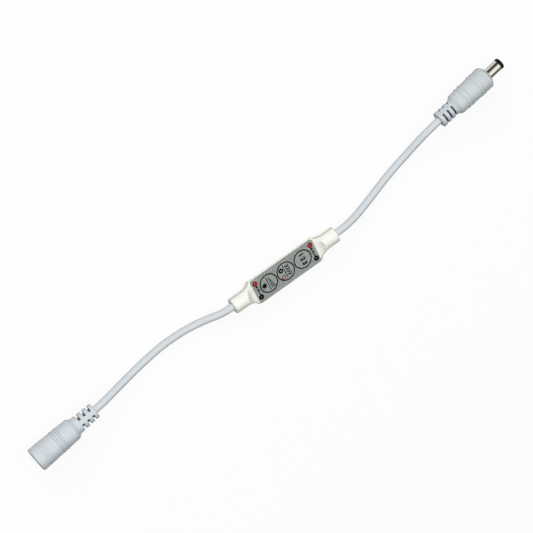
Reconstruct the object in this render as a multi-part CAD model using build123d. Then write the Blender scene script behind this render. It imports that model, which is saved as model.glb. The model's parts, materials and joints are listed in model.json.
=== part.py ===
from build123d import *
import math
import os

# Inline dimmer for a low-voltage light strip, in millimetres.
# A flat housing with three sprung keys sits between two round cables, one with a jack, one with a plug.
# X runs from the jack to the plug, Z is up, and z = 0 is the surface that it lies on.

# Housing, outside
housing_length = 58.8       # from neck end to neck end
box_length = 36.5           # the flat part that carries the keys
box_width = 13.5
box_top = 5.25              # height of the flat face under the film
box_corner = 1.5            # plan corners of the flat face
side_height = 0.75          # upright part of the side wall, under the flat face
side_slope = 32.0           # degrees that the side leans inward below it
keel_fillet = 1.4           # soft edge between the sloped side and the flat underside
web_reach = 5.05            # how far the flat webs run along the necks from the box's ends
web_root = 3.3              # half their width there
web_shoulder = 0.45         # how far in from the box's sides they start

# Necks
neck_radius = 3.9
neck_lift = 0.05            # clear of the surface that the housing lies on
neck_swell = 5.25           # radius that the neck has grown to where it meets the box
swell_length = 5.6
neck_rim = 0.5              # rounding of the neck's end
ramp_length = 5.2           # slope from the neck's crown down to the flat face
ramp_over = 0.3             # how far above the crown the slope's curve ends

# Shell walls
wall = 1.0                  # sloped sides, measured across
end_wall = 1.0
ceiling = 0.8               # under the film
floor = 0.9
cavity_corner = 0.9
lip_height = 0.5            # tongue that lines the two shells up
lip_thickness = 0.5
lip_clearance = 0.06

# Film and keys
film_end_margin = 0.7       # bare rim of the flat face, at each end
film_side_margin = 0.3
film_thickness = 0.25
film_corner = 1.3
key_names = ["brightness", "speed", "mode"]   # from the jack's side to the plug's
key_pitch = 9.66
key_spacing = 0.86          # between one key's edge and the next
key_clearance = 0.06        # in the film
key_hole_clearance = 0.11   # in the shell under it
key_boss_radius = 2.2
key_boss_height = 0.4
key_travel = 0.25

# Circuit board
board_end_gap = 1.25        # between its ends and the cavity's
board_side_gap = 0.1
board_thickness = 0.8
board_bottom = 2.0
board_corner = 0.6
rib_thickness = 0.9         # cross ribs that carry the board
end_rib_inset = 2.8         # from the board's ends to the outer ribs
post_radius = 0.45          # posts under the ceiling that hold its corners down
post_inset = (0.9, 0.55)    # from the board's corners
post_gap = 0.03

# Tact switches
switch_size = 4.5
switch_corner = 0.3
switch_floor = 0.25
well_clearance = 0.25       # round the stem's flange
cover_thickness = 0.15
cover_skirt = 0.5           # how far its sides reach down over the base
stem_radius = 1.0
stem_clearance = 0.05
flange_radius = 1.45
flange_height = 0.3
flange_gap = 0.02
dome_radius = 1.35
dome_thickness = 0.08
dome_pressed = 0.04         # height that is left when its key is down
dome_gap = 0.02
lead_width = 0.7
lead_reach = 0.75
lead_thickness = 0.15
lead_offset = 1.5

# Parts on the board: length along X, width along Y, height
chip_size = (3.0, 3.0, 1.0)
chip_leads = 4              # on each side
chip_lead = (0.35, 0.75, 0.18)
transistor_size = (3.3, 2.3, 1.3)
transistor_tab = (1.6, 0.6, 0.3)
transistor_y = -0.9
regulator_size = (2.9, 1.3, 1.05)
regulator_lead = (0.4, 0.55, 0.15)
regulator_y = 1.6
capacitor_size = (1.0, 0.5, 0.5)
resistor_size = (1.0, 0.5, 0.35)
edge_row_inset = 0.4        # from the board's sides to the rows of small parts

# Cables
cable_radius = 1.8
cable_held = 8.5            # length of jacket gripped in each neck
bore_clearance = 0.05
wire_radius = 0.5
wire_spread = 0.8           # from the cable's middle, where the two wires leave it
wire_pad_y = 1.35
wire_pad_offset = 3.74      # from the outer switches' middle to where the stripped ends are soldered
wire_drop = (0.74, 0.34)    # where they turn down to the board, as shares of their way in the cavity
solder_radius = 0.85
solder_height = 0.75

# Jack: its grip is measured from the mouth, and its tail from the end
jack_tail = (-107.76, -1.05)   # where the middle of its tail lies
jack_turn = 6.3                # degrees from X
jack_axis_height = 6.0
jack_grip_length = 21.3
jack_shoulder_length = 1.8
jack_tail_length = 11.1
jack_mouth_radius = 5.95
jack_shoulder_radius = 5.35
jack_collar_radius = 4.05
jack_tail_radius = 3.72
jack_rim_round = 0.8
jack_fine_rings = (4.8, 1.05, 3)   # the first one's place, their pitch and how many
jack_bold_rings = (12.4, 2.4, 2)
jack_middle_ring = 13.6            # a fine one between the bold ones
jack_slots = (2.25, 2.95, 3)
jack_slot_width = 1.0
jack_spine_angle = 27.0        # degrees from straight up, where the two spines between the slots lie

insert_radius = 4.45
insert_length = 12.6
insert_setback = 0.35
lead_in_radius = 3.1
lead_in_depth = 1.5
socket_radius = 2.9
socket_depth = 10.0
pin_radius = 1.0
pin_start = 2.4                # from the mouth to the pin's tip
pin_tip = 0.35
pin_flange_radius = 1.5
pin_flange = 0.5
pin_shank_radius = 0.8
spring_width = 2.0
spring_thickness = 0.3
groove_depth = 0.6             # below the socket's wall
groove_start = 0.5             # behind the lead-in
spring_start = 1.0
spring_ramp = 2.0              # length of the slope behind its bulge

# Plug: its tail is measured from the end, and the front of its grip from the face
plug_tail = (97.9, 18.66)
plug_turn = 9.4
plug_axis_height = 5.9
plug_tail_length = 8.8
plug_shoulder_length = 2.2
plug_grip_length = 20.1
plug_tail_radius = 4.0
plug_neck_radius = 3.87
plug_rear_radius = 5.25
plug_front_radius = 5.55
plug_front_length = 8.7
plug_chamfer_length = 1.3
plug_face_radius = 3.75
plug_rear_rings = (3.9, 2.2, 2)    # from the shoulder
plug_nose_rings = (2.1, 1.0, 3)    # from the face
plug_middle_rings = (6.2, 1.8, 2)
plug_slots = (2.4, 2.6, 3)
plug_slot_width = 0.85
plug_spine_angle = 66.0

barrel_radius = 2.75
barrel_wall = 0.4
barrel_length = 6.8            # of bare metal
barrel_root = 6.0              # hidden in the overmould
barrel_waist = 0.35            # how much thinner the root is
barrel_flange_rise = 0.55      # how far the flange stands out past the bare barrel
barrel_flange_depth = 1.0      # its distance behind the overmould's face
barrel_flange = 0.8
tip_length = 1.9
tip_round = 0.7
mouth_clearance = 0.22         # of the tip's mouth, round the inner contact's bore
contact_radius = 1.08          # bore that takes the pin of a jack
contact_wall = 0.35
contact_setback = 1.2          # behind the tip's face
seat_gap = 0.03

# Rings and strain relief, on both overmoulds
fine_ring = 0.16
bold_ring = 0.3
ring_length = 0.7
slot_core_radius = 2.35
slot_flare = 0.4            # soft outer edge of each slot, cut as a slope of this depth and half this width
spine_width = 2.2
tail_round = 0.4
shoulder_round = 0.8
foot_round = 0.5

# Routes of the cables' free stretches, in order from the neck; their first and last points are worked out
exit_run = 5.7              # straight out of each neck
jack_run = 5.8              # straight into the jack's tail
plug_run = 7.2              # straight into the plug's tail
input_points = [
    (-42.8, 1.8, 2.75), (-53.0, 3.2, 1.85), (-64.5, 3.65, 1.85),
    (-76.0, 2.35, 1.85), (-87.0, 0.55, 2.35), (-95.6, 0.05, 4.4),
]
output_points = [
    (42.4, 0.7, 2.85), (51.5, 3.1, 1.95), (61.0, 6.6, 1.85),
    (69.5, 9.35, 1.85), (77.0, 11.6, 2.3), (83.9, 14.7, 4.1),
]
arc_share = 0.45            # of the shorter run beside a corner, taken up by its arc


# Derived sizes
half_housing = housing_length / 2
half_box = box_length / 2
half_width = box_width / 2
axis_height = neck_radius + neck_lift   # of the necks and of the parting plane
film_length = box_length - 2 * film_end_margin
film_width = box_width - 2 * film_side_margin
film_top = box_top + film_thickness
key_radius = (key_pitch - key_spacing) / 2
lean = math.tan(math.radians(side_slope))
side_bottom = box_top - side_height
board_top = board_bottom + board_thickness
ceiling_height = box_top - ceiling
cavity_half_length = half_box - end_wall
outer_half_width = half_width - (side_bottom - axis_height) * lean   # at the parting plane
cavity_half_width = outer_half_width - wall / math.cos(math.radians(side_slope))
half_board = cavity_half_length - board_end_gap
half_board_width = cavity_half_width - (axis_height - board_bottom) * lean - board_side_gap
edge_row = half_board_width - edge_row_inset
rib_places = [side * x for x in (key_pitch / 2, half_board - end_rib_inset) for side in (-1, 1)]
dome_bottom = board_top + switch_floor + dome_gap
dome_height = dome_pressed + key_travel
flange_bottom = dome_bottom + dome_height + dome_gap
flange_top = flange_bottom + flange_height
switch_top = flange_top + flange_gap
boss_bottom = box_top - key_boss_height
wire_pad_x = key_pitch + wire_pad_offset
cable_end = half_housing - cable_held
jack_length = jack_grip_length + jack_shoulder_length + jack_tail_length
plug_length = plug_tail_length + plug_shoulder_length + plug_grip_length
socket_back = insert_setback + insert_length
barrel_root_radius = barrel_radius - barrel_waist
plug_root = plug_length - barrel_root
plug_tip = plug_length + barrel_length + tip_length
contact_front = plug_tip - contact_setback
key_places = {name: (number - 1) * key_pitch for number, name in enumerate(key_names)}
ends = {"input": -1, "output": 1}
jack_place = Location((*jack_tail, jack_axis_height), (0, 0, jack_turn)) * Pos(-jack_length, 0, 0)
plug_place = Location((*plug_tail, plug_axis_height), (0, 0, plug_turn))
upward, forward = (0, 0, 1), (1, 0, 0)


def slab(sketch, bottom, top):
    """A flat sketch raised from one height to another."""
    return Pos(0, 0, bottom) * extrude(sketch, amount=top - bottom, dir=upward)


def bar(outline, start, end):
    """A face of (y, z) points carried along X."""
    return Pos(start, 0, 0) * extrude(Plane.YZ * outline, amount=end - start, dir=forward)


def rod(radius, start, end):
    """A round rod about the X axis."""
    return bar(Circle(radius), start, end)


def turned(points):
    """A body of revolution about X from (x, radius) points."""
    return revolve(make_face(Polyline(*points, close=True)), Axis.X)


def both_ways(make):
    """The same feature at the jack's side and at the plug's side, mirrored."""
    feature = make()
    return feature + mirror(feature, Plane.YZ)


def neck():
    """A round neck that swells towards the box, with its crown ramped down to the flat face."""
    root = (half_box, 0)
    swell_end = (half_box + swell_length, neck_radius)
    rim_start = (half_housing - neck_rim, neck_radius)
    rim_end = (half_housing, neck_radius - neck_rim)
    outline = make_face([
        Line(root, (half_box, neck_swell)),
        TangentArc(swell_end, (half_box, neck_swell), tangent=(-1, 0)),
        Line(swell_end, rim_start),
        TangentArc(rim_start, rim_end, tangent=(1, 0)),
        Line(rim_end, (half_housing, 0)),
        Line((half_housing, 0), root),
    ])
    body = Pos(0, 0, axis_height) * revolve(outline, Axis.X)
    crown = axis_height + neck_radius + ramp_over
    start, end = (half_box, box_top), (half_box + ramp_length, crown)
    middle = ((start[0] + end[0]) / 2, (start[1] + end[1]) / 2)
    above = crown + neck_swell
    ramp = make_face([
        TangentArc(start, middle, tangent=(1, 0)),
        TangentArc(end, middle, tangent=(-1, 0)),
        Line(end, (end[0], above)),
        Line((end[0], above), (start[0], above)),
        Line((start[0], above), start),
    ])
    ramp_cut = extrude(Plane.XZ * ramp, amount=2 * neck_swell, both=True)
    resting = slab(Pos(half_box, 0) * Rectangle(4 * housing_length, 4 * box_width), 0, above)
    return (body & resting) - ramp_cut


def web():
    """The flat web in the plane of the top face, with hollow edges from the box's corners to the neck."""
    far, near = half_box + web_reach, half_box - box_corner
    tip = half_width - web_shoulder
    outline = make_face([
        TangentArc((far, web_root), (half_box, tip), tangent=(-1, 0)),
        TangentArc((far, -web_root), (half_box, -tip), tangent=(-1, 0)),
        Line((far, web_root), (far, -web_root)),
        Polyline((half_box, tip), (near, tip), (near, -tip), (half_box, -tip)),
    ])
    return slab(outline, side_bottom, box_top)


def hull_section(half_top, bottom, top_height, corner):
    """The section of the hull or of its cavity: sides lean in below the parting plane's height."""
    half_bottom = half_top - (top_height - bottom) * lean
    corners = [(-half_top, top_height), (-half_bottom, bottom), (half_bottom, bottom), (half_top, top_height)]
    face = make_face(Polyline(*corners, close=True))
    if corner:
        face = fillet(face.vertices().group_by(Axis.Y)[0], corner)
    return face


def outer_body():
    """The whole housing as one solid, before it is parted and hollowed."""
    lower = bar(hull_section(half_width, 0, side_bottom, keel_fillet), -half_box, half_box)
    upper = slab(Rectangle(box_length, box_width), side_bottom, box_top)
    plan = slab(RectangleRounded(box_length, box_width, box_corner), 0, box_top)
    return ((lower + upper) & plan) + both_ways(web) + both_ways(neck)


def cavity_outline(margin=0.0):
    """Plan of the cavity, grown by a margin."""
    return RectangleRounded(
        2 * (cavity_half_length + margin), 2 * (cavity_half_width + margin), cavity_corner + margin)


def cable_bores():
    """The two bores that grip the cables, each with a narrower passage for its two wires."""
    height = wire_radius + bore_clearance
    oblong = SlotOverall(2 * (wire_spread + height), 2 * height)
    passage = bar(oblong, cavity_half_length - lip_thickness, cable_end)
    grip = rod(cable_radius + bore_clearance, cable_end, half_housing + end_wall)
    bores = Pos(0, 0, axis_height) * (passage + grip)
    return bores + mirror(bores, Plane.YZ)


def bottom_shell(body):
    """Lower half: cavity, tongue, cross ribs under the board, and half of each bore."""
    shell = body & slab(Rectangle(2 * housing_length, 2 * box_width), 0, axis_height)
    section = hull_section(cavity_half_width, floor, axis_height, 0)
    shell -= bar(section, -cavity_half_length, cavity_half_length) & slab(cavity_outline(), 0, axis_height)
    shell += slab(cavity_outline(lip_thickness) - cavity_outline(), axis_height, axis_height + lip_height)
    rib_width = 2 * (cavity_half_width - (axis_height - floor) * lean)
    for place in rib_places:
        shell += Pos(place, 0, 0) * slab(Rectangle(rib_thickness, rib_width), floor / 2, board_bottom)
    return shell - cable_bores()


def top_shell(body):
    """Upper half: cavity, groove for the tongue, key holes, posts over the board, and half of each bore."""
    shell = body & slab(Rectangle(2 * housing_length, 2 * box_width), axis_height, axis_height + box_width)
    shell -= slab(cavity_outline(), axis_height, ceiling_height)
    groove = lip_thickness + lip_clearance
    shell -= slab(cavity_outline(groove), axis_height, axis_height + lip_height + lip_clearance)
    for place in key_places.values():
        shell -= Pos(place, 0, 0) * slab(Circle(key_radius + key_hole_clearance), axis_height, box_top)
    post = slab(Circle(post_radius), board_top + post_gap, box_top)
    corner_x, corner_y = half_board - post_inset[0], half_board_width - post_inset[1]
    for corner in GridLocations(2 * corner_x, 2 * corner_y, 2, 2):
        shell += corner * post
    return shell - cable_bores()


def keypad_film():
    """The printed film on the flat face, with a round opening for each key."""
    film = RectangleRounded(film_length, film_width, film_corner)
    for place in key_places.values():
        film -= Pos(place, 0) * Circle(key_radius + key_clearance)
    return slab(film, box_top, film_top)


def key():
    """One key: a thin disc level with the film, on a boss that bears on the switch's stem."""
    return slab(Circle(key_radius), box_top, film_top) + slab(Circle(key_boss_radius), boss_bottom, box_top)


def stem():
    """The switch's plunger, kept in by a flange under the cover."""
    flange = slab(Circle(flange_radius), flange_bottom, flange_top)
    return flange + slab(Circle(stem_radius), flange_top, boss_bottom)


def dome():
    """The snap dome under the plunger: a shallow hat that clicks flat."""
    crown = dome_radius / 3
    edge = 1.5 * dome_thickness
    hat = make_face(Plane.XZ * Polyline(
        (0, dome_height), (crown, dome_height), (dome_radius, 0), (dome_radius - edge, 0),
        (crown - edge / 2, dome_height - dome_thickness), (0, dome_height - dome_thickness), close=True))
    return Pos(0, 0, dome_bottom) * revolve(hat, Axis.Z)


def switch_base():
    """The moulded base with a round well for the dome and the flange."""
    block = slab(RectangleRounded(switch_size, switch_size, switch_corner), board_top, switch_top)
    return block - slab(Circle(flange_radius + well_clearance), board_top + switch_floor, switch_top)


def switch_cover():
    """The folded metal cover, with a hole for the stem."""
    inside = RectangleRounded(switch_size, switch_size, switch_corner)
    size = switch_size + 2 * cover_thickness
    outside = RectangleRounded(size, size, switch_corner + cover_thickness)
    cover = slab(outside, switch_top - cover_skirt, switch_top + cover_thickness)
    cover -= slab(inside, switch_top - cover_skirt, switch_top)
    return cover - slab(Circle(stem_radius + stem_clearance), switch_top, switch_top + cover_thickness)


def gull_lead(width, reach, thickness, rise):
    """A lead that leaves a body at a height, bends down and lies flat on the board, towards +Y."""
    fold = make_face(Polyline(
        (0, rise + thickness), (0.4 * reach, rise + thickness), (0.6 * reach, thickness), (reach, thickness),
        (reach, 0), (0.5 * reach, 0), (0.3 * reach, rise), (0, rise), close=True))
    return Pos(0, 0, board_top) * bar(fold, -width / 2, width / 2)


def switch_leads():
    """Four leads on each switch."""
    lead = gull_lead(lead_width, lead_reach, lead_thickness, lead_thickness)
    leads = []
    for place in key_places.values():
        for x in (place - lead_offset, place + lead_offset):
            leads += [Pos(x, switch_size / 2, 0) * lead, Pos(x, -switch_size / 2, 0) * Rot(0, 0, 180) * lead]
    return Compound(leads)


def controller_chip():
    """The small square chip between the first two keys."""
    length, width, height = chip_size
    chip = slab(Rectangle(length, width), board_top + chip_lead[2], board_top + height)
    lead = gull_lead(*chip_lead, height / 3)
    pitch = length / chip_leads
    for number in range(chip_leads):
        x = (number - (chip_leads - 1) / 2) * pitch
        chip += Pos(x, width / 2, 0) * lead
        chip += Pos(x, -width / 2, 0) * Rot(0, 0, 180) * lead
    return Pos(-key_pitch / 2, 0, 0) * chip


def power_transistor():
    """The transistor that switches the strip's current, with its wide tab."""
    length, width, height = transistor_size
    tab_length, tab_reach, tab_height = transistor_tab
    tab = Pos(0, -(width + tab_reach) / 2) * Rectangle(tab_length, tab_reach)
    body = slab(Rectangle(length, width), board_top, board_top + height)
    return Pos(key_pitch / 2, transistor_y, 0) * (body + slab(tab, board_top, board_top + tab_height))


def voltage_regulator():
    """The three-legged regulator beside it."""
    length, width, height = regulator_size
    body = slab(Rectangle(length, width), board_top + regulator_lead[2], board_top + height)
    lead = gull_lead(*regulator_lead, height / 3)
    body += Pos(0, width / 2, 0) * lead
    for x in (-length / 3, length / 3):
        body += Pos(x, -width / 2, 0) * Rot(0, 0, 180) * lead
    return Pos(key_pitch / 2, regulator_y, 0) * body


def edge_parts(size, places):
    """A row of equal two-ended parts along each side of the board."""
    length, width, height = size
    one = slab(Rectangle(length, width), board_top, board_top + height)
    return Compound([Pos(x, y, 0) * one for x in places for y in (-edge_row, edge_row)])


def rounded_path(points):
    """Straight runs joined by arcs as large as the runs allow, and the arcs' radii."""
    places = [Vector(*point) for point in points]
    runs = [after - before for before, after in zip(places, places[1:])]
    radii = []
    for before, after in zip(runs, runs[1:]):
        half_turn = math.radians(before.get_angle(after)) / 2
        radii.append(arc_share * min(before.length, after.length) / math.tan(half_turn))
    return FilletPolyline(*places, radius=radii), radii


def tube(points, radius):
    """A round tube along such a path, with its radii and length."""
    path, radii = rounded_path(points)
    return sweep(Plane(path @ 0, z_dir=path % 0) * Circle(radius), path), radii, path.length


def wire(end, side):
    """One insulated wire, from the jacket's end down to its pad on the board."""
    height = board_top + wire_radius + seat_gap
    turn_down, level = (wire_pad_x + share * (cavity_half_length - wire_pad_x) for share in wire_drop)
    points = [
        (cable_end, wire_spread, axis_height), (turn_down, wire_spread, axis_height),
        (level, wire_pad_y, height), (wire_pad_x, wire_pad_y, height),
    ]
    return tube([(end * x, side * y, z) for x, y, z in points], wire_radius)[0]


def solder_joints(wires):
    """A cone of solder round each wire's end."""
    drop = slab(Circle(solder_radius), board_top, board_top + solder_height)
    drop = chamfer(drop.edges().group_by(Axis.Z)[-1], solder_radius / 2)
    drops = []
    for end in ends.values():
        for side in (1, -1):
            joint = Pos(end * wire_pad_x, side * wire_pad_y, 0) * drop
            for one in wires:
                joint -= one
            drops.append(joint)
    return Compound(drops)


def ribbed_body(stations, rings, rounding):
    """A body of revolution about X through (x, radius) stations.

    Each (x, height) in rings is a low round ring, and each (station number, radius) in rounding a soft edge.
    """
    edges, here = [], stations[0]
    for (x0, r0), (x1, r1) in zip(stations, stations[1:]):
        rise = (r1 - r0) / (x1 - x0)
        for middle, height in rings:
            if x0 < middle < x1:
                start, end = middle - ring_length / 2, middle + ring_length / 2
                foot, peak, far_foot = (
                    (x, r0 + rise * (x - x0) + up) for x, up in ((start, 0), (middle, height), (end, 0)))
                edges += [Line(here, foot), ThreePointArc(foot, peak, far_foot)]
                here = far_foot
        edges.append(Line(here, (x1, r1)))
        here = (x1, r1)
    rear, front = (stations[0][0], 0), (stations[-1][0], 0)
    outline = make_face([*edges, Line(here, front), Line(front, rear), Line(rear, stations[0])])
    for number, radius in rounding:
        corner = outline.vertices().sort_by_distance((*stations[number], 0))[0]
        outline = fillet(corner, radius)
    return revolve(outline, Axis.X)


def row(spacing):
    """Places in a row, from the first one's place, the pitch and the count."""
    first, pitch, count = spacing
    return [first + number * pitch for number in range(count)]


def relief_slots(places, width, angle, radius):
    """The slots of a strain relief: flared rings cut down to the core, bridged by two opposite spines."""
    half, wide = width / 2, width / 2 + slot_flare / 2
    edge, reach = radius - slot_flare, 2 * radius
    slot = turned([
        (-half, slot_core_radius), (-half, edge), (-wide, radius), (-wide, reach),
        (wide, reach), (wide, radius), (half, edge), (half, slot_core_radius)])
    slot -= slab(Rectangle(2 * wide, spine_width), -reach, reach)
    cutters = [Pos(place, 0, 0) * slot for place in places]
    return Rot(-angle, 0, 0) * Compound(cutters)


def jack_overmould():
    """The female end: a ribbed grip that tapers to a collar and a slotted tail, hollow for the insert."""
    slots = [jack_length - place for place in row(jack_slots)]
    collar = jack_grip_length + jack_shoulder_length
    stations = [
        (0, jack_mouth_radius), (jack_grip_length, jack_shoulder_radius), (collar, jack_collar_radius),
        (min(slots) - jack_slot_width, jack_collar_radius), (jack_length, jack_tail_radius),
    ]
    rings = [(x, fine_ring) for x in (*row(jack_fine_rings), jack_middle_ring)]
    rings = sorted(rings + [(x, bold_ring) for x in row(jack_bold_rings)])
    soft = [(0, jack_rim_round), (1, shoulder_round), (2, foot_round), (4, tail_round)]
    solid = ribbed_body(stations, rings, soft)
    solid -= rod(insert_radius + seat_gap, 0, socket_back + seat_gap)
    return solid - relief_slots(slots, jack_slot_width, jack_spine_angle, jack_collar_radius)


def jack_insert():
    """The dark core: a socket for the barrel, a hole for the pin's shank and a groove for the spring."""
    face, back = insert_setback, socket_back
    throat, bottom = face + lead_in_depth, face + socket_depth
    hole = pin_shank_radius + seat_gap
    deepest = socket_radius + groove_depth
    core = turned([
        (face, insert_radius), (face, lead_in_radius), (throat, lead_in_radius), (throat, socket_radius),
        (bottom, socket_radius), (bottom, hole), (back, hole), (back, insert_radius)])
    section = Pos(0, -deepest / 2) * Rectangle(spring_width + 4 * seat_gap, deepest)
    groove = bar(section, throat + groove_start, back) - rod(socket_radius / 2, 0, back)
    return core - groove


def jack_pin():
    """The centre pin, seated by its flange on the socket's floor."""
    seat, back = insert_setback + socket_depth, socket_back
    front = seat - pin_flange
    return turned([
        (pin_start, 0), (pin_start, pin_radius - pin_tip), (pin_start + pin_tip, pin_radius),
        (front, pin_radius), (front, pin_flange_radius), (seat, pin_flange_radius),
        (seat, pin_shank_radius), (back, pin_shank_radius), (back, 0)])


def jack_spring():
    """The leaf that presses on the barrel from one side of the socket."""
    rest = socket_radius + groove_depth - spring_thickness - seat_gap
    bulge = socket_radius - spring_thickness / 2
    front = insert_setback + lead_in_depth + spring_start
    middle = insert_setback + socket_depth / 2
    line = [(front, rest), (middle, bulge), (middle + spring_ramp, rest), (socket_back, rest)]
    outer = [(x, radius + spring_thickness) for x, radius in reversed(line)]
    leaf = make_face(Polyline(*[(x, -radius) for x, radius in line + outer], close=True))
    return extrude(Plane.XZ * leaf, amount=spring_width / 2, both=True)


def plug_overmould():
    """The male end: a slotted tail, a ribbed grip that widens forward and a chamfered nose."""
    shoulder = plug_tail_length + plug_shoulder_length
    stations = [
        (0, plug_tail_radius), (plug_tail_length, plug_neck_radius), (shoulder, plug_rear_radius),
        (plug_length - plug_front_length, plug_front_radius),
        (plug_length - plug_chamfer_length, plug_front_radius), (plug_length, plug_face_radius),
    ]
    rings = [(shoulder + x, bold_ring) for x in row(plug_rear_rings)]
    rings += [(plug_length - x, bold_ring) for x in row(plug_middle_rings)]
    rings = sorted(rings + [(plug_length - x, fine_ring) for x in row(plug_nose_rings)])
    soft = [(0, tail_round), (1, foot_round), (2, shoulder_round), (4, foot_round)]
    solid = ribbed_body(stations, rings, soft)
    solid -= turned([(plug_root - seat_gap, 0), *flanged_root(seat_gap), (plug_length, 0)])
    return solid - relief_slots(row(plug_slots), plug_slot_width, plug_spine_angle, plug_tail_radius)


def flanged_root(gap=0.0):
    """Outline points of the barrel's hidden root with its flange, grown by a gap."""
    waist, flange = barrel_root_radius + gap, barrel_radius + barrel_flange_rise + gap
    front = plug_length - barrel_flange_depth + gap
    back = front - barrel_flange - 2 * gap
    return [
        (plug_root - gap, waist), (back, waist), (back, flange),
        (front, flange), (front, waist), (plug_length, waist)]


def plug_barrel():
    """The outer contact: a tube whose waisted root has a flange that the overmould grips."""
    front = plug_length + barrel_length
    bore = barrel_root_radius - barrel_wall
    sleeve = [(plug_length, barrel_radius), (front, barrel_radius), (front, bore)]
    return turned([(plug_root, bore), *flanged_root(), *sleeve])


def plug_insulator():
    """The black sleeve between the two contacts, with its rounded tip."""
    outside = barrel_root_radius - barrel_wall - seat_gap
    inside = contact_radius + contact_wall + seat_gap
    mouth = contact_radius + mouth_clearance
    lip = contact_front + seat_gap
    tip_start = plug_length + barrel_length + seat_gap
    outline = make_face(Polyline(
        (plug_root, inside), (plug_root, outside), (tip_start, outside), (tip_start, barrel_radius),
        (plug_tip, barrel_radius), (plug_tip, mouth), (lip, mouth), (lip, inside),
        close=True))
    corner = outline.vertices().sort_by_distance((plug_tip, barrel_radius, 0))[0]
    return revolve(fillet(corner, tip_round), Axis.X)


def plug_inner_contact():
    """The inner contact: a tube that takes a jack's pin."""
    outside = contact_radius + contact_wall
    return turned([
        (plug_root, contact_radius), (plug_root, outside), (contact_front, outside),
        (contact_front, contact_radius)])


def spot(place, along):
    """A point on a connector's axis."""
    return tuple((place * Pos(along, 0, 0)).position)


def cable_routes():
    """The control points of both free stretches, neck first."""
    routes = {}
    connector = {
        "input": [spot(jack_place, jack_length + jack_run), spot(jack_place, jack_length)],
        "output": [spot(plug_place, -plug_run), spot(plug_place, 0)],
    }
    chosen = {"input": input_points, "output": output_points}
    for name, side in ends.items():
        start = [(side * x, 0, axis_height) for x in (half_housing, half_housing + exit_run)]
        routes[name] = start + chosen[name] + connector[name]
    return routes


def write(node, shape):
    """One STEP file for one node."""
    shape.label = node
    export_step(shape, os.path.join("parts", node + ".step"))


os.makedirs("parts", exist_ok=True)
body = outer_body()
write("top_shell", top_shell(body))
write("bottom_shell", bottom_shell(body))
write("keypad_film", keypad_film())
board = RectangleRounded(2 * half_board, 2 * half_board_width, board_corner)
write("circuit_board", slab(board, board_bottom, board_top))

for name, place in key_places.items():
    here = Pos(place, 0, 0)
    write(name + "_key", here * key())
    write(name + "_stem", here * stem())
    write(name + "_dome", here * dome())
    write(name + "_switch_base", here * switch_base())
    write(name + "_switch_cover", here * switch_cover())
write("switch_leads", switch_leads())

write("controller_chip", controller_chip())
write("power_transistor", power_transistor())
write("voltage_regulator", voltage_regulator())
write("capacitors", edge_parts(capacitor_size, [0]))
write("resistors", edge_parts(resistor_size, [-key_pitch, -key_pitch / 2, key_pitch / 2, key_pitch]))

wires = {
    f"{name}_{colour}_wire": wire(end, side)
    for name, end in ends.items() for colour, side in (("red", 1), ("black", -1))
}
for node, solid in wires.items():
    write(node, solid)
write("solder_joints", solder_joints(list(wires.values())))

for name, points in cable_routes().items():
    end = ends[name]
    held = Pos(0, 0, axis_height) * rod(cable_radius, cable_end, half_housing)
    write(name + "_cable_end", held if end > 0 else mirror(held, Plane.YZ))
    solid, radii, length = tube(points, cable_radius)
    write(name + "_cable", solid)
    share = solid.volume / (math.pi * cable_radius**2 * length)
    print(name, "cable: length", round(length, 1), "volume over section times length", round(share, 4))
    print(name, "cable: arc radii", [round(radius, 1) for radius in radii])

for make in (jack_overmould, jack_insert, jack_pin, jack_spring):
    write(make.__name__, jack_place * make())
for make in (plug_overmould, plug_barrel, plug_insulator, plug_inner_contact):
    write(make.__name__, plug_place * make())
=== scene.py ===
import json
import math
import bpy
import bmesh
import numpy as np
from mathutils import Matrix, Vector


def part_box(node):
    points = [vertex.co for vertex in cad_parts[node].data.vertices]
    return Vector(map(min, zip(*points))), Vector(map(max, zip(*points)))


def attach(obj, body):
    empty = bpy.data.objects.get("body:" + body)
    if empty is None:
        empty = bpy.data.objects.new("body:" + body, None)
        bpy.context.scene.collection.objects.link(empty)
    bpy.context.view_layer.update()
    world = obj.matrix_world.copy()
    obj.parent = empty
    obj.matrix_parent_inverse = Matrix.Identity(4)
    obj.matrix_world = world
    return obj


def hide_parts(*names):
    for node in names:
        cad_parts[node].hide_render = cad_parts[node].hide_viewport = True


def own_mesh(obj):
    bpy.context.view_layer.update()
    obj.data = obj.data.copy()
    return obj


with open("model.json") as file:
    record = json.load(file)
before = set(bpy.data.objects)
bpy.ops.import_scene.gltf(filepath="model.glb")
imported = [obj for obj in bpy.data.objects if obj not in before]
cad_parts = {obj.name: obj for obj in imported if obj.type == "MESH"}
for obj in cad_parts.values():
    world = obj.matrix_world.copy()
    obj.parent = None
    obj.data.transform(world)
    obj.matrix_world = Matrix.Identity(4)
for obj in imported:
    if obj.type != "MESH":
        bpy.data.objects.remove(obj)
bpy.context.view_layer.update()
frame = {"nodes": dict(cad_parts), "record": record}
nodes = frame["nodes"]
millimetre = 0.001


# Camera

viewpoint = {
    "right": (0.7961, -0.4024, 0.451),      # directions of the picture's axes
    "up": (0.5637, 0.7647, -0.313),
    "back": (-0.22, 0.5034, 0.836),
    "aim": (0.0, 0.0, 0.0055),              # the middle key's top
    "pixel": (285.8, 271.1),                # where it shows
    "distance": 1.0455,
    "lens": 155.3,
    "sensor": 36.0,
    "frameWidth": 533,
}


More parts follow.
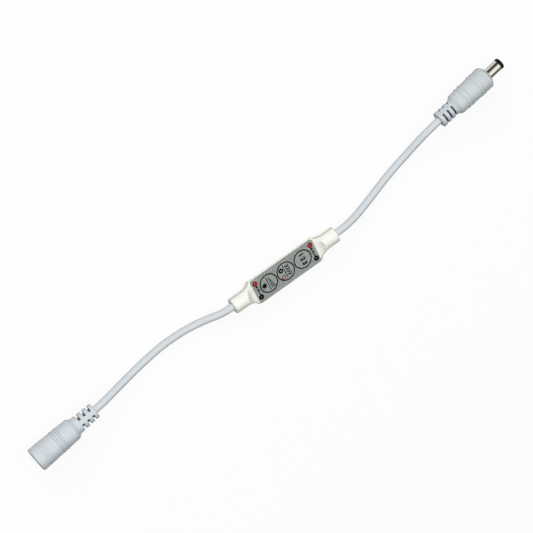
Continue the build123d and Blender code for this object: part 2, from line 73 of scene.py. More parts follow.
def placeCamera(view):
    rough = np.array([view["right"], view["up"], view["back"]])
    left, _, turned = np.linalg.svd(rough)      # nearest exact rotation
    right, up, back = left @ turned
    perPixel = view["distance"] * view["sensor"] / view["lens"] / view["frameWidth"]
    across = (view["pixel"][0] - view["frameWidth"] / 2) * perPixel
    above = (view["frameWidth"] / 2 - view["pixel"][1]) * perPixel
    place = np.array(view["aim"]) + view["distance"] * back - across * right - above * up
    lens = bpy.data.cameras.new("camera")
    lens.lens, lens.sensor_width = view["lens"], view["sensor"]
    camera = bpy.data.objects.new("camera", lens)
    bpy.context.scene.collection.objects.link(camera)
    matrix = np.eye(4)
    matrix[:3, 0], matrix[:3, 1], matrix[:3, 2], matrix[:3, 3] = right, up, back, place
    camera.matrix_world = Matrix(matrix.tolist())
    bpy.context.scene.camera = camera


placeCamera(viewpoint)
print("camera placed")


# Shading helper

class Shade:
    # one socket of a node tree; arithmetic on it adds the Math nodes
    edgeSamples = 16        # rays by which a Bevel node looks for edges

    def __init__(self, tree, socket=None):
        self.tree, self.socket = tree, socket

    def node(self, kind, settings, values, out=0):
        made = self.tree.nodes.new(kind)
        for key, value in settings.items():
            if key == "stops":
                ramp = made.color_ramp.elements
                while len(ramp) < len(value):
                    ramp.new(1.0)
                for element, (position, colour) in zip(ramp, value):
                    element.position, element.color = position, (*colour, 1.0)
            else:
                setattr(made, key, value)
        for key, value in values.items():
            if isinstance(value, Shade):
                self.tree.links.new(value.socket, made.inputs[key])
            else:
                made.inputs[key].default_value = value
        return Shade(self.tree, made.outputs[out] if made.outputs else None)

    def maths(self, operation, second=0.0, first=None):
        # self is the first value, unless another is given, and the second where that is None
        values = {0: self if first is None else first, 1: self if second is None else second}
        return self.node("ShaderNodeMath", {"operation": operation}, values)

    def __add__(self, other):
        return self.maths("ADD", other)

    def __sub__(self, other):
        return self.maths("SUBTRACT", other)

    def __rsub__(self, other):
        return self.maths("SUBTRACT", None, other)

    def __mul__(self, other):
        return self.maths("MULTIPLY", other)

    def __truediv__(self, other):
        return self.maths("DIVIDE", other)

    __radd__, __rmul__ = __add__, __mul__

    def size(self):
        # the value without its sign
        return self.maths("ABSOLUTE")

    def clamped(self):
        return self.maths("MAXIMUM", 0.0).maths("MINIMUM", 1.0)

    def fromWhole(self):
        # how far the value is from the nearest whole number
        return self.maths("PINGPONG", 0.5)

    def vector(self, operation, other, out=0):
        return self.node("ShaderNodeVectorMath", {"operation": operation}, {0: self, 1: other}, out)

    def part(self, axis):
        return self.node("ShaderNodeSeparateXYZ", {}, {0: self}, axis)

    def dot(self, direction):
        return self.vector("DOT_PRODUCT", direction, "Value")

    def distance(self, other):
        return self.vector("DISTANCE", other, "Value")

    def noise(self, cell, detail=2.0, stretch=(1, 1, 1)):
        # noise whose cells are about that many metres wide; self is a place
        values = {"Vector": self.vector("MULTIPLY", stretch), "Scale": 1 / cell, "Detail": detail}
        return self.node("ShaderNodeTexNoise", {}, values, "Fac")

    def mix(self, low, high):
        # self is the share of the second colour
        return self.node("ShaderNodeMix", {"data_type": "RGBA"}, {0: self, 6: low, 7: high}, 2)

    def bump(self, depth, strength, edge=None):
        # self is the height; edge is the radius to which a Bevel node rounds the shading of edges
        values = {"Height": self, "Distance": depth, "Strength": strength}
        if edge:
            values["Normal"] = self.node("ShaderNodeBevel", {"samples": self.edgeSamples}, {"Radius": edge})
        return self.node("ShaderNodeBump", {}, values)


looks = {}      # each material by its name


def material(name, constants, varying):
    # constants sit on the shader's own sockets; varying takes the place on the object and gives what changes
    made = bpy.data.materials.new(name)
    made.use_nodes = True
    made.node_tree.nodes.clear()
    start = Shade(made.node_tree)
    place = start.node("ShaderNodeTexCoord", {}, {}, "Object")
    surface = start.node("ShaderNodeBsdfPrincipled", {}, {**constants, **varying(place)})
    start.node("ShaderNodeOutputMaterial", {}, {"Surface": surface})
    looks[name] = made


def tint(colour, factor=1.0):
    return (*[part * factor for part in colour], 1.0)


def varied(facts, colour, grain, relief):
    # what nearly every surface varies; "spread" is how far its roughness follows the grain
    return {
        "Base Color": colour,
        "Roughness": grain * facts["spread"] + facts["roughness"],
        "Normal": relief.bump(facts["depth"], facts["strength"], facts.get("edge")),
    }


def flowing(facts, colour, place):
    # the grain, and the colour with its darker shade where the moulding's flow and the grain put it
    grain = place.noise(facts["grain"])
    share = place.noise(facts["flow"]) * facts["flowShare"] + grain * facts["grainShare"]
    return grain, share.mix(tint(colour), tint(colour, facts["shade"]))


def speckled(facts):
    # one noise mixes two colours, and gives the roughness and the relief
    def varying(place):
        grain = place.noise(facts["grain"], detail=3.0, stretch=facts.get("stretch", (1, 1, 1)))
        return varied(facts, grain.mix(tint(facts["colour"]), tint(facts["shadeColour"])), grain, grain)
    return varying


def heading(turn):
    return math.cos(math.radians(turn)), math.sin(math.radians(turn)), 0.0


# Housing: ivory moulding with a fine spark finish

ivory = {
    "colour": (0.955, 0.955, 0.88),
    "shadeColour": (0.93, 0.925, 0.84),
    "grain": 0.00022, "grainShare": 0.2, "grainRelief": 0.3,
    "cloud": 0.011, "cloudShare": 0.6,
    "seamHeight": 0.00395,
    "seamReach": 0.0001,            # half the line's width
    "seamTint": 0.6, "seamShare": 0.25, "seamRelief": 0.4,
    "roughness": 0.4, "spread": 0.12,
    "depth": 0.000005, "strength": 0.4, "edge": 0.0018,
}


def ivoryFinish(place):
    grain = place.noise(ivory["grain"], detail=3.0)
    cloud = place.noise(ivory["cloud"], detail=1.0)
    seam = (1.0 - (place.part("Z") - ivory["seamHeight"]).size() / ivory["seamReach"]).clamped()
    share = cloud * ivory["cloudShare"] + grain * ivory["grainShare"]
    colour = share.mix(tint(ivory["colour"]), tint(ivory["shadeColour"]))
    colour = (seam * ivory["seamShare"]).mix(colour, tint(ivory["shadeColour"], ivory["seamTint"]))
    return varied(ivory, colour, grain, grain * ivory["grainRelief"] - seam * ivory["seamRelief"])


material("ivoryPlastic", {"IOR": 1.49, "Coat Weight": 0.08, "Coat Roughness": 0.25}, ivoryFinish)


# Film over the keys: grey, screen printed, with a fine pebbled face

film = {
    "colour": (0.20, 0.224, 0.21),
    "light": (0.44, 0.48, 0.45),
    "pebble": 0.00021,
    "speck": 0.0008, "speckContrast": 3.4, "speckShare": 0.62,
    "cloud": 0.006, "cloudShare": 0.2,
    "filmLift": 0.06, "keyLift": 0.16,      # added to the light colour's share
    "roughness": 0.4, "spread": 0.2,
    "depth": 0.00002, "strength": 0.6,
}


def filmFinish(lift):
    def varying(place):
        pebble = place.noise(film["pebble"])
        speck = ((place.noise(film["speck"]) - 0.5) * film["speckContrast"] + 0.5).clamped()
        cloud = place.noise(film["cloud"])
        share = (speck * film["speckShare"] + cloud * film["cloudShare"] + lift).clamped()
        return varied(film, share.mix(tint(film["colour"]), tint(film["light"])), pebble, pebble)
    return varying


material("filmMatt", {"IOR": 1.52}, filmFinish(film["filmLift"]))
material("keyFilmMatt", {"IOR": 1.52}, filmFinish(film["keyLift"]))


# Cables and overmoulds: a satin pale blue-grey compound

sheath = {
    "colour": (0.675, 0.72, 0.745),
    "shade": 0.88,
    "grain": 0.00025, "grainShare": 0.2,
    "flow": 0.012, "flowShare": 0.4,
    "roughness": 0.36, "spread": 0.12,
    "depth": 0.00001, "strength": 0.18,
}
overmould = {
    "shade": 0.85,
    "grain": 0.00025, "grainShare": 0.2,
    "flow": 0.007, "flowShare": 0.35,
    # painted shade in the tail's slots
    "slotShadeColour": (0.10, 0.11, 0.15),
    "slotStart": 0.0005,            # from the tail's end
    "slotSoft": 0.0002,
    "coreFade": 0.0006,             # over which the slots' painted shade fades, outwards from there
    "roughness": 0.42, "spread": 0.12,
    "depth": 0.00001, "strength": 0.22, "edge": 0.0001,
}
ringLine = {
    "crest": 0.0003,                # half the width of a ring's crest, where a highlight is painted
    "foot": 0.00062,                # from its middle to the end of the shade painted beside it
    "soft": 0.00012,                # over which both fade
    "crestHighlight": 0.7,                  # the painted highlight's strength, as a share of the row's shade
    "margin": 0.6,                  # of a pitch, kept beyond the first and last ring of a row
    "steep": 20,                    # how sharply a row ends there
}
connectors = {
    "jack": {
        "tail": (-0.10776, -0.00105, 0.006),        # the middle of its end, where the cable enters
        "turn": 180 + 6.3,                          # of the axis, from there to the mouth or the tip
        "slots": 0.0099,                            # how far from the tail's end they reach
        "core": 0.0030,                             # radius within which a slot has its full painted shade
        "colour": (0.65, 0.71, 0.75),
        "ringRows": [       # first ring's distance from the tail's end, pitch, count, and the strength of the shade and highlight painted there
            (0.0294, -0.00105, 3, 0.22), (0.0218, -0.0012, 3, 0.32)],
    },
    "plug": {
        "tail": (0.0979, 0.01866, 0.0059),
        "turn": 9.4,
        "slots": 0.0092,
        "core": 0.0030,
        "colour": (0.63, 0.685, 0.71),
        "ringRows": [
            (0.029, -0.001, 3, 0.24), (0.0249, -0.0018, 2, 0.05), (0.0149, 0.0022, 2, 0.03)],
    },
}


def cableFinish(place):
    grain, colour = flowing(sheath, sheath["colour"], place)
    return varied(sheath, colour, grain, grain)


def paintedRingShading(along, rows):
    # two shares, each times its row's shade: painted shade at the foot beside each ring, and a painted
    # highlight on each ring's top
    margin, steep = ringLine["margin"], ringLine["steep"]
    paintedFootShade, paintedCrestLight = 0.0, 0.0
    for first, pitch, count, shade in rows:
        number = (along - first) / pitch
        away = number.fromWhole() * abs(pitch)      # from the nearest ring's middle
        begun = ((number + margin) * steep).clamped()
        inside = begun * ((count - 1 + margin - number) * steep).clamped() * shade
        past = ((away - ringLine["crest"]) / ringLine["soft"]).clamped()
        near = ((ringLine["foot"] - away) / ringLine["soft"]).clamped()
        paintedFootShade = past * near * inside + paintedFootShade
        paintedCrestLight = (1.0 - past) * inside * ringLine["crestHighlight"] + paintedCrestLight
    return paintedFootShade, paintedCrestLight


def overmouldFinish(end):
    def varying(place):
        grain, colour = flowing(overmould, end["colour"], place)
        away = place.vector("SUBTRACT", end["tail"])
        along = away.dot(heading(end["turn"]))
        reach = away.distance((0, 0, 0))
        radius = (reach * reach - along * along).size().maths("SQRT")
        soft, fade = overmould["slotSoft"], overmould["coreFade"]
        before = (1.0 - (along - end["slots"]) / soft).clamped()
        inTail = before * ((along - overmould["slotStart"]) / soft).clamped()
        # painted shade in the slots, full within the core radius and fading outwards
        slotShade = ((end["core"] + fade - radius) / fade).clamped() * inTail
        paintedFootShade, paintedCrestLight = paintedRingShading(along, end["ringRows"])
        # painted shade beside the rings, then a painted highlight on them
        withFootShade = paintedFootShade.mix(colour, tint((0.0, 0.0, 0.0)))
        withCrestLight = paintedCrestLight.mix(withFootShade, tint((1.0, 1.0, 1.0)))
        return varied(overmould, slotShade.mix(withCrestLight, tint(overmould["slotShadeColour"])), grain, grain)
    return varying


material("cableSheath", {"IOR": 1.5, "Coat Weight": 0.08, "Coat Roughness": 0.25}, cableFinish)
material("jackSheath", {"IOR": 1.5}, overmouldFinish(connectors["jack"]))
material("plugSheath", {"IOR": 1.5}, overmouldFinish(connectors["plug"]))


# Metals

nickel = {
    "colour": (0.70, 0.665, 0.585),
    "worn": (0.58, 0.55, 0.475),
    "patch": 0.0016, "patchShare": 0.7,
    "line": 0.00012, "lineSpread": 0.04,
    "roughness": 0.06, "spread": 0.1,
    "depth": 0.00001, "strength": 0.25, "edge": 0.0001,
}
steel = {
    "colour": (0.66, 0.66, 0.67),
    "shadeColour": (0.5, 0.5, 0.52),
    "grain": 0.0006, "stretch": (1, 9, 1),
    "roughness": 0.22, "spread": 0.2,
    "depth": 0.00001, "strength": 0.4, "edge": 0.00005,
}
tin = {
    "colour": (0.74, 0.74, 0.76),
    "shadeColour": (0.5, 0.49, 0.45),
    "grain": 0.0006,
    "roughness": 0.18, "spread": 0.35,
    "depth": 0.00006, "strength": 0.6,
}


def turnedFinish(end):
    # fine lines round the axis, as a lathe leaves them
    def varying(place):
        lines = place.node("ShaderNodeTexNoise", {"noise_dimensions": "1D"}, {
            "W": place.dot(heading(end["turn"])) / nickel["line"], "Scale": 1.0, "Detail": 3.0}, "Fac")
        patch = place.noise(nickel["patch"], detail=3.0)
        colour = (patch * nickel["patchShare"]).mix(tint(nickel["colour"]), tint(nickel["worn"]))
        inputs = varied(nickel, colour, patch, lines)
        inputs["Roughness"] += lines * nickel["lineSpread"]
        return inputs
    return varying


material("plugNickel", {"Metallic": 1.0}, turnedFinish(connectors["plug"]))
material("jackNickel", {"Metallic": 1.0}, turnedFinish(connectors["jack"]))
material("springSteel", {"Metallic": 1.0}, speckled(steel))
material("solder", {"Metallic": 1.0}, speckled(tin))


# Board, its parts, the wires, the dark mouldings and the inks

laminate = {
    "mask": (0.012, 0.12, 0.05),
    "trace": (0.03, 0.24, 0.1),
    "pitch": 0.0016,
    "traceWidth": 0.12,             # of a pitch, to each side of a trace's middle
    "steep": 18.0,
    "bend": 0.004, "bendReach": 1.6,
    "weave": 0.0004, "weaveRelief": 0.3,
    "roughness": 0.24, "spread": 0.12,
    "depth": 0.00002, "strength": 0.5,
}
moulding = {
    "lightTone": 1.15, "darkTone": 0.8,
    "spread": 0.18,
    "depth": 0.00002, "strength": 0.5, "edge": 0.00006,
}
mouldings = {       # constants, colour, width of the grain's cells and roughness
    "blackMoulding": ({}, (0.022, 0.022, 0.024), 0.00012, 0.45),
    "stemPlastic": ({}, (0.78, 0.78, 0.75), 0.0002, 0.35),
    "ceramicBody": ({}, (0.43, 0.32, 0.19), 0.0003, 0.5),
    "darkCore": ({}, (0.014, 0.014, 0.017), 0.00025, 0.32),
    "glossBlack": ({"Specular IOR Level": 0.18}, (0.003, 0.003, 0.003), 0.0003, 0.2),
    "redInsulation": ({"Coat Weight": 0.2}, (0.42, 0.018, 0.018), 0.0004, 0.3),
    "blackInsulation": ({"Coat Weight": 0.2}, (0.016, 0.016, 0.017), 0.0004, 0.3),
    "blackInk": ({"Specular IOR Level": 0.06}, (0.005, 0.006, 0.007), 0.00015, 0.6),
    "redInk": ({"Specular IOR Level": 0.2}, (0.33, 0.006, 0.01), 0.00015, 0.55),
}


def laminateFinish(place):
    weave = place.noise(laminate["weave"])
    bend = place.noise(laminate["bend"], detail=1.0) * laminate["bendReach"]
    across = (place.part("Y") / laminate["pitch"] + bend).fromWhole()
    trace = ((laminate["traceWidth"] - across) * laminate["steep"]).clamped()
    colour = trace.mix(tint(laminate["mask"]), tint(laminate["trace"]))
    return varied(laminate, colour, weave, trace + weave * laminate["weaveRelief"])


material("boardLaminate", {"Coat Weight": 0.3}, laminateFinish)
for name, (constants, colour, grain, roughness) in mouldings.items():
    light, dark = (tint(colour, moulding[tone])[:3] for tone in ("lightTone", "darkTone"))
    material(name, constants, speckled({
        **moulding, "colour": light, "shadeColour": dark, "grain": grain, "roughness": roughness}))
print("materials made")

nodeLooks = {
    "top_shell": "ivoryPlastic", "bottom_shell": "ivoryPlastic",
    "keypad_film": "filmMatt", "circuit_board": "boardLaminate", "switch_leads": "springSteel",
    "controller_chip": "blackMoulding", "power_transistor": "blackMoulding",
    "voltage_regulator": "blackMoulding", "resistors": "blackMoulding",
    "capacitors": "ceramicBody", "solder_joints": "solder",
    "input_cable_end": "cableSheath", "output_cable_end": "cableSheath",
    "jack_overmould": "jackSheath", "jack_insert": "darkCore",
    "jack_pin": "jackNickel", "jack_spring": "springSteel",
    "plug_overmould": "plugSheath", "plug_barrel": "plugNickel",
    "plug_insulator": "glossBlack", "plug_inner_contact": "plugNickel",
}
for keyName in ("brightness", "speed", "mode"):
    nodeLooks.update({
        f"{keyName}_key": "keyFilmMatt", f"{keyName}_stem": "stemPlastic", f"{keyName}_dome": "springSteel",
        f"{keyName}_switch_base": "blackMoulding", f"{keyName}_switch_cover": "springSteel"})
for side in ("input", "output"):
    nodeLooks.update({f"{side}_red_wire": "redInsulation", f"{side}_black_wire": "blackInsulation"})
for name, look in nodeLooks.items():
    nodes[name].data.materials.clear()
    nodes[name].data.materials.append(looks[look])
print("frame dressed:", len(nodeLooks), "nodes")


# Cables

cables = {
    "diameter": 0.0036,
    "order": 3,                 # of the curve
    "steps": 16,                # between two points of the curve
    "roundness": 7,             # the section has 4 points and two more for each of these
    "inputCable": {
        "replaces": "input_cable",
        "length": 0.0794,
        "farEnd": "connector",
        "pieces": ["jack_overmould", "jack_insert", "jack_pin", "jack_spring"],
        "route": [
            (-0.0294, 0.0, 0.00395), (-0.0351, 0.0, 0.00395), (-0.0428, 0.0018, 0.00275),
            (-0.0530, 0.0032, 0.00185), (-0.0645, 0.00365, 0.00185), (-0.0760, 0.00235, 0.00185),
            (-0.0870, 0.00055, 0.00235), (-0.0956, 0.00005, 0.0044),
            (-0.101995, -0.000414, 0.0060), (-0.10776, -0.00105, 0.0060)],
    },
    "outputCable": {
        "replaces": "output_cable",
        "length": 0.0720,
        "farEnd": "plug",
        "pieces": ["plug_overmould", "plug_barrel", "plug_insulator", "plug_inner_contact"],
        "route": [
            (0.0294, 0.0, 0.00395), (0.0351, 0.0, 0.00395), (0.0424, 0.0007, 0.00285),
            (0.0515, 0.0031, 0.00195), (0.0610, 0.0066, 0.00185), (0.0695, 0.00935, 0.00185),
            (0.0770, 0.0116, 0.0023), (0.0839, 0.0147, 0.0041),
            (0.090797, 0.017484, 0.0059), (0.0979, 0.01866, 0.0059)],
    },
}


def layCable(name, facts):
    curve = bpy.data.curves.new(name, "CURVE")
    curve.dimensions, curve.resolution_u = "3D", cables["steps"]
    curve.bevel_depth, curve.bevel_resolution = cables["diameter"] / 2, cables["roundness"]
    curve.use_fill_caps = True
    spline = curve.splines.new("NURBS")
    spline.points.add(len(facts["route"]) - 1)
    for point, place in zip(spline.points, facts["route"]):
        point.co = (*place, 1.0)
    spline.order_u, spline.use_endpoint_u = cables["order"], True
    cable = bpy.data.objects.new(name, curve)
    bpy.context.scene.collection.objects.link(cable)
    curve.materials.append(looks["cableSheath"])
    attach(cable, "housing")
    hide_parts(facts["replaces"])
    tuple(facts["route"][0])


layCable("inputCable", cables["inputCable"])
layCable("outputCable", cables["outputCable"])
print("cables laid")


# Snap domes: thin steel hats, one for each key

snapDome = {
    "crown": 0.33,              # its radius, as a share of the dome's
    "sheet": 0.00008,
    "rings": 20,
    "sectors": 64,
}


def layDome(keyName):
    # the steel stays at full height up to the crown's edge, then falls to the rim as 1 - s * s * (3 - 2 * s),
    # with s from 0 to 1; the lower skin lies one sheet's thickness under the upper one, and a rim joins them
    low, high = (np.array(corner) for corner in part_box(f"{keyName}_dome"))
    centre, radius, height = (low + high) / 2, (high[0] - low[0]) / 2, high[2] - low[2]
    reach = np.linspace(0, 1, snapDome["rings"] + 1)[1:]
    fall = np.clip((reach - snapDome["crown"]) / (1 - snapDome["crown"]), 0, 1)
    under = low[2] + (height - snapDome["sheet"]) * (1 - fall ** 2 * (3 - 2 * fall))
    around = np.append(reach, reach[::-1]) * radius
    heights = np.append(under + snapDome["sheet"], under[::-1])
    count = snapDome["sectors"]
    angle = np.linspace(0, 2 * np.pi, count, endpoint=False)
    x, y = centre[0] + np.outer(around, np.cos(angle)), centre[1] + np.outer(around, np.sin(angle))
    skin = np.column_stack([x.ravel(), y.ravel(), np.repeat(heights, count)])
    poles = [(centre[0], centre[1], heights[0]), (centre[0], centre[1], heights[-1])]
    here = np.arange(count)
    there = (here + 1) % count
    rows = np.arange(len(around) - 1)[:, None] * count
    quads = np.stack([rows + here, rows + count + here, rows + count + there, rows + there], axis=2)
    top, bottom, last = len(skin), len(skin) + 1, len(skin) - count
    faces = quads.reshape(-1, 4).tolist()
    faces += np.column_stack([np.full(count, top), here, there]).tolist()
    faces += np.column_stack([last + here, np.full(count, bottom), last + there]).tolist()
    mesh = bpy.data.meshes.new(f"{keyName}SnapDome")
    mesh.from_pydata(skin.tolist() + poles, [], faces)
    mesh.shade_smooth()
    mesh.materials.append(looks["springSteel"])
    dome = bpy.data.objects.new(f"{keyName}SnapDome", mesh)
    bpy.context.scene.collection.objects.link(dome)
    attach(dome, "housing")
    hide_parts(f"{keyName}_dome")
    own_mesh(dome)


for joint in frame["record"]["behaviour"]["joints"]:
    layDome(joint["name"].removesuffix("_press"))
print("domes laid")


# Printed marks: thin raised ink, in millimetres, on the film and on the keys

marks = {
    "filmTop": 5.5,
    "inkHeight": 0.014,
    "keyPitch": 9.66,
    "keyRing": (4.1, 4.39),            # the printed ring's inner part, on the key
    "filmRing": (4.475, 4.73),         # its outer part, round the key
    "points": {"keyRing": 160, "ring": 96, "disc": 48},         # round each kind of circle
    "polarity": {"x": 15.7, "y": 3.84, "inner": 0.24, "outer": 1.3},
    "signs": {
        "x": 15.6, "y": 1.9, "stroke": 0.56, "height": 1.4,
        "reach": 0.8, "gap": 0.31, "dash": 0.42, "step": 0.62},     # for the direct-current sign
    "divider": {"stroke": 0.38, "reach": 3.5, "brightnessX": -0.31, "speedX": -0.34},
    "sun": {"place": (-2.38, 0.0), "disc": 1.1, "rays": 10, "rayStart": 1.2, "rayEnd": 1.55, "stroke": 0.3},
    "steps": {"x": 0.45, "count": 6, "pitch": 1.0, "low": 0.6, "high": 2.2, "stroke": 0.56},
    "slowRing": {"place": (-2.03, 1.49), "inner": 0.36, "outer": 1.22},
    "fastRing": {"place": (-2.08, -2.13), "inner": 0.7, "outer": 1.1},
    "chevrons": {"x": 1.35, "count": 4, "pitch": 1.45, "height": 1.9, "depth": 0.9, "stroke": 0.58},
    "digits": {"x": 0.1, "size": 3.1, "bold": 0.2, "text": "1 2 3"},
}
ink = (marks["filmTop"], marks["filmTop"] + marks["inkHeight"])


def band(path, width, closed=False):
    # a line of ink: each point of the path is pushed to both sides by half the width along the mitred normal,
    # at two heights, which gives four rails, and neighbouring rails are joined by quads
    path = np.asarray(path, float)
    steps = np.diff(np.vstack([path, path[:1]]) if closed else path, axis=0)
    steps /= np.linalg.norm(steps, axis=1)[:, None]
    normals = np.stack([-steps[:, 1], steps[:, 0]], axis=1)
    before = np.roll(normals, 1, axis=0) if closed else np.vstack([normals[:1], normals])
    after = normals if closed else np.vstack([normals, normals[-1:]])
    mitre = before + after
    mitre /= np.sum(mitre * after, axis=1)[:, None]
    sides = [path + mitre * width / 2, path - mitre * width / 2]
    rails = [(sides[0], ink[0]), (sides[1], ink[0]), (sides[1], ink[1]), (sides[0], ink[1])]
    points = np.vstack([np.column_stack([side, np.full(len(path), height)]) for side, height in rails])
    count = len(path)
    here = np.arange(count if closed else count - 1)
    there = (here + 1) % count
    rail = np.arange(4)[:, None] * count
    nextRail = (np.arange(1, 5)[:, None] % 4) * count
    quads = np.stack([rail + here, rail + there, nextRail + there, nextRail + here], axis=2)
    faces = quads.reshape(-1, 4).tolist()
    if not closed:
        faces += [(np.arange(4) * count).tolist(), (np.arange(4) * count + count - 1)[::-1].tolist()]
    return points, faces


def circle(centre, radius, count):
    # points at equal angles round a centre
    angle = np.linspace(0, 2 * np.pi, count, endpoint=False)
    return np.column_stack([centre[0] + radius * np.cos(angle), centre[1] + radius * np.sin(angle)])


def ringBand(centre, inner, outer, count=marks["points"]["ring"]):
    return band(circle(centre, (inner + outer) / 2, count), outer - inner, True)


def pad(outline):
    # a filled shape of ink: the outline at two heights, with its sides between them and two flat faces
    count = len(outline)
    points = np.vstack([np.column_stack([outline, np.full(count, height)]) for height in ink])
    here = np.arange(count)
    there = (here + 1) % count
    faces = np.column_stack([here, there, there + count, here + count]).tolist()
    return points, faces + [here[::-1].tolist(), (here + count).tolist()]


def inkPiece(name, shapes, body, look):
    # joins shapes into one mesh, turns its faces outwards, and puts it on a body
    points, faces, start = [], [], 0
    for shapePoints, shapeFaces in shapes:
        points.append(shapePoints)
        faces += [[corner + start for corner in face] for face in shapeFaces]
        start += len(shapePoints)
    mesh = bpy.data.meshes.new(name)
    mesh.from_pydata((np.vstack(points) * millimetre).tolist(), [], faces)
    outwards = bmesh.new()
    outwards.from_mesh(mesh)
    bmesh.ops.recalc_face_normals(outwards, faces=outwards.faces)
    outwards.to_mesh(mesh)
    outwards.free()
    mesh.materials.append(looks[look])
    piece = bpy.data.objects.new(name, mesh)
    bpy.context.scene.collection.objects.link(piece)
    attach(piece, body)


def endSigns(side):
    # plus, direct current and minus, in a row between the two polarity rings
    signs = marks["signs"]
    x, y, half, reach = side * signs["x"], signs["y"], signs["height"] / 2, signs["reach"]
    line, dashes = x + signs["gap"], x - signs["gap"]
    plus = [[(x - half, y), (x + half, y)], [(x, y - half), (x, y + half)]]
    minus = [[(x, -y - half), (x, -y + half)]]
    direct = [[(line, -reach), (line, reach)]]
    direct += [[(dashes, middle - signs["dash"] / 2), (dashes, middle + signs["dash"] / 2)]
               for middle in (-signs["step"], 0.0, signs["step"])]
    return [band(ends, signs["stroke"]) for ends in plus + minus + direct]


def sunSign(centre):
    sun = marks["sun"]
    angle = np.linspace(0, 2 * np.pi, sun["rays"], endpoint=False)
    middle = np.array(centre) + sun["place"]
    rays = [band([middle + sun["rayStart"] * way, middle + sun["rayEnd"] * way], sun["stroke"])
            for way in np.column_stack([np.cos(angle), np.sin(angle)])]
    return [pad(circle(middle, sun["disc"], marks["points"]["disc"])), *rays]


def rising(x):
    # bars that grow step by step, read across the housing
    steps = marks["steps"]
    heights = np.linspace(steps["low"], steps["high"], steps["count"])
    places = (np.arange(steps["count"]) - (steps["count"] - 1) / 2) * -steps["pitch"]
    return [band([(x + steps["x"], y), (x + steps["x"] + height, y)], steps["stroke"])
            for y, height in zip(places, heights)]


def arrows(x):
    # chevrons that point across the housing
    chevrons = marks["chevrons"]
    middle, half, depth = x + chevrons["x"], chevrons["height"] / 2, chevrons["depth"] / 2
    places = (np.arange(chevrons["count"]) - (chevrons["count"] - 1) / 2) * -chevrons["pitch"]
    paths = [[(middle - half, y + depth), (middle, y - depth), (middle + half, y + depth)] for y in places]
    return [band(path, chevrons["stroke"]) for path in paths]


def divider(x):
    reach = marks["divider"]["reach"]
    return band([(x, -reach), (x, reach)], marks["divider"]["stroke"])


def digits(x):
    # the digits in Blender's own font, turned to be read across the housing, as a mesh on the mode button
    digit = marks["digits"]
    text = bpy.data.curves.new("digits", "FONT")
    text.body, text.size, text.align_x, text.align_y = digit["text"], digit["size"], "CENTER", "CENTER"
    text.extrude, text.offset = marks["inkHeight"] / 2, digit["bold"]
    written = bpy.data.objects.new("digits", text)
    bpy.context.scene.collection.objects.link(written)
    bpy.context.view_layer.update()
    mesh = bpy.data.meshes.new_from_object(written.evaluated_get(bpy.context.evaluated_depsgraph_get()))
    bpy.data.objects.remove(written)
    place = Matrix.Translation((x + digit["x"], 0, sum(ink) / 2))
    mesh.transform(place @ Matrix.Rotation(-math.pi / 2, 4, "Z"))
    mesh.transform(Matrix.Scale(millimetre, 4))
    mesh.materials.clear()
    mesh.materials.append(looks["blackInk"])
    piece = bpy.data.objects.new("modeDigits", mesh)
    bpy.context.scene.collection.objects.link(piece)
    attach(piece, "mode_button")


pitch, polarity, ringPoints = marks["keyPitch"], marks["polarity"], marks["points"]["keyRing"]
keyRings = {place: ringBand((place, 0), *marks["keyRing"], ringPoints) for place in (-pitch, 0.0, pitch)}
filmShapes = [ringBand((place, 0), *marks["filmRing"], ringPoints) for place in (-pitch, 0.0, pitch)]
redShapes = []
for side in (-1, 1):
    filmShapes += endSigns(side)
    filmShapes.append(ringBand((side * polarity["x"], -polarity["y"]), polarity["inner"], polarity["outer"]))
    redShapes.append(ringBand((side * polarity["x"], polarity["y"]), polarity["inner"], polarity["outer"]))
inkPiece("filmMarks", filmShapes, "housing", "blackInk")
inkPiece("filmRedRings", redShapes, "housing", "redInk")
brightnessShapes = [
    keyRings[-pitch], divider(-pitch + marks["divider"]["brightnessX"]),
    *sunSign((-pitch, 0)), *rising(-pitch)]
inkPiece("brightnessMarks", brightnessShapes, "brightness_button", "blackInk")
slow, fast = marks["slowRing"], marks["fastRing"]
speedShapes = [
    keyRings[0.0], divider(marks["divider"]["speedX"]),
    ringBand(slow["place"], slow["inner"], slow["outer"]), *arrows(0.0)]
inkPiece("speedMarks", speedShapes, "speed_button", "blackInk")
inkPiece("speedRedRing", [ringBand(fast["place"], fast["inner"], fast["outer"])], "speed_button", "redInk")
inkPiece("modeRing", [keyRings[pitch]], "mode_button", "blackInk")
digits(pitch)
print("marks printed")


# Floor, world and lamps

studio = {
    "floorSize": 3.0,
    "floorSquares": 8,                      # in each row
    "floorGap": 0.00002,                    # below the housing's underside, so that the two faces don't fight
    "floorColour": (0.95, 0.95, 0.95),      # as the camera sees it
    "bounceColour": (0.08, 0.08, 0.08),     # as it throws light back at the object
    "paperGrain": 0.002, "paperShade": 0.97,
    "glow": 0.92,                           # share of plain white that camera, gloss and glass see in it
    "skyStops": [                           # height and level, from the horizon to overhead
        (0.0, 0.045), (0.55, 0.06), (0.8, 0.55), (0.95, 1.4)],
    "skyScale": 2,                          # a ramp holds up to 1, so it holds the levels divided by this
    "lamps": [
        {"name": "keyLamp", "from": (-0.12, 0.86, 0.5), "distance": 1.3, "size": 0.7, "power": 12.5},
        {"name": "fillLamp", "from": (0.3, -0.9, 0.4), "distance": 1.3, "size": 0.9, "power": 0.2},
    ],
}


def floorMesh():
    half, squares = studio["floorSize"] / 2, studio["floorSquares"]
    line = np.linspace(-half, half, squares + 1)
    across, along = np.meshgrid(line, line)
    points = np.column_stack([across.ravel(), along.ravel(), np.full(across.size, -studio["floorGap"])])
    corner = (np.arange(squares)[:, None] * (squares + 1) + np.arange(squares)).ravel()
    faces = np.column_stack([corner, corner + 1, corner + squares + 2, corner + squares + 1])
    mesh = bpy.data.meshes.new("floor")
    mesh.from_pydata(points.tolist(), [], faces.tolist())
    return mesh


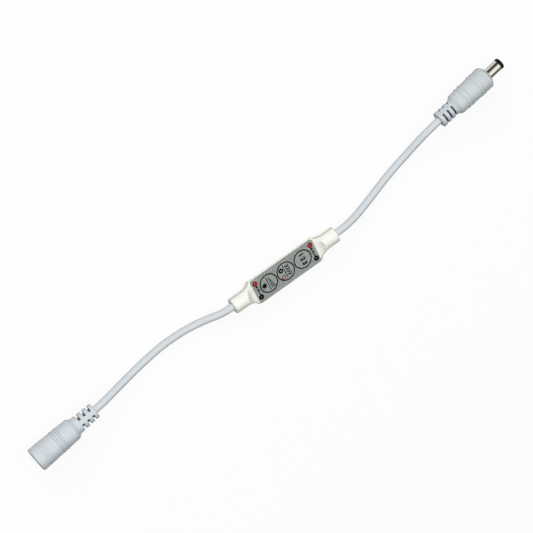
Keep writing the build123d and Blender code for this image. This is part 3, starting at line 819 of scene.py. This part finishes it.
def floorPaper():
    # pale paper to the camera and darker paper to the object, with plain white mixed in where it is seen
    look = bpy.data.materials.new("floorPaper")
    look.use_nodes = True
    look.node_tree.nodes.clear()
    start = Shade(look.node_tree)
    grain = start.node("ShaderNodeTexCoord", {}, {}, "Object").noise(studio["paperGrain"])
    seen = start.node("ShaderNodeLightPath", {}, {}, "Is Camera Ray")
    glossy = start.node("ShaderNodeLightPath", {}, {}, "Is Glossy Ray")
    through = start.node("ShaderNodeLightPath", {}, {}, "Is Transmission Ray")
    pale = grain.mix(tint(studio["floorColour"]), tint(studio["floorColour"], studio["paperShade"]))
    paper = start.node("ShaderNodeBsdfDiffuse", {}, {"Color": seen.mix(tint(studio["bounceColour"]), pale)})
    white = start.node("ShaderNodeEmission", {}, {"Strength": 1.0})
    share = (seen + glossy + through).clamped() * studio["glow"]
    both = start.node("ShaderNodeMixShader", {}, {0: share, 1: paper, 2: white})
    start.node("ShaderNodeOutputMaterial", {}, {"Surface": both})
    return look


def layFloor():
    mesh = floorMesh()
    floor = bpy.data.objects.new("floor", mesh)
    bpy.context.scene.collection.objects.link(floor)
    mesh.materials.append(floorPaper())


def lightWorld():
    # plain white to the camera and through glass, and the sky's levels to everything else
    world = bpy.data.worlds.new("studio")
    world.use_nodes = True
    world.node_tree.nodes.clear()
    start = Shade(world.node_tree)
    camera = start.node("ShaderNodeLightPath", {}, {}, "Is Camera Ray")
    through = start.node("ShaderNodeLightPath", {}, {}, "Is Transmission Ray")
    seen = (camera + through).clamped()
    height = start.node("ShaderNodeTexCoord", {}, {}, "Generated").part("Z")
    stops = [(place, (level / studio["skyScale"],) * 3) for place, level in studio["skyStops"]]
    ramp = start.node("ShaderNodeValToRGB", {"stops": stops}, {"Fac": height}, "Color")
    level = seen + (1 - seen) * (ramp.part("X") * studio["skyScale"])
    shine = start.node("ShaderNodeBackground", {}, {"Color": (1, 1, 1, 1), "Strength": level})
    start.node("ShaderNodeOutputWorld", {}, {"Surface": shine})
    bpy.context.scene.world = world


def hangLamp(lamp):
    light = bpy.data.lights.new(lamp["name"], "AREA")
    light.shape, light.size, light.energy = "DISK", lamp["size"], lamp["power"]
    hung = bpy.data.objects.new(lamp["name"], light)
    bpy.context.scene.collection.objects.link(hung)
    direction = Vector(lamp["from"]).normalized()
    hung.location = direction * lamp["distance"]
    hung.rotation_mode = "QUATERNION"
    hung.rotation_quaternion = direction.to_track_quat("Z", "Y")
    hung.visible_glossy = False         # metal shows the sky's soft bands, not a glaring disc


layFloor()
lightWorld()
for lamp in studio["lamps"]:
    hangLamp(lamp)
bpy.context.scene.view_settings.view_transform = "Standard"
print("studio lit")
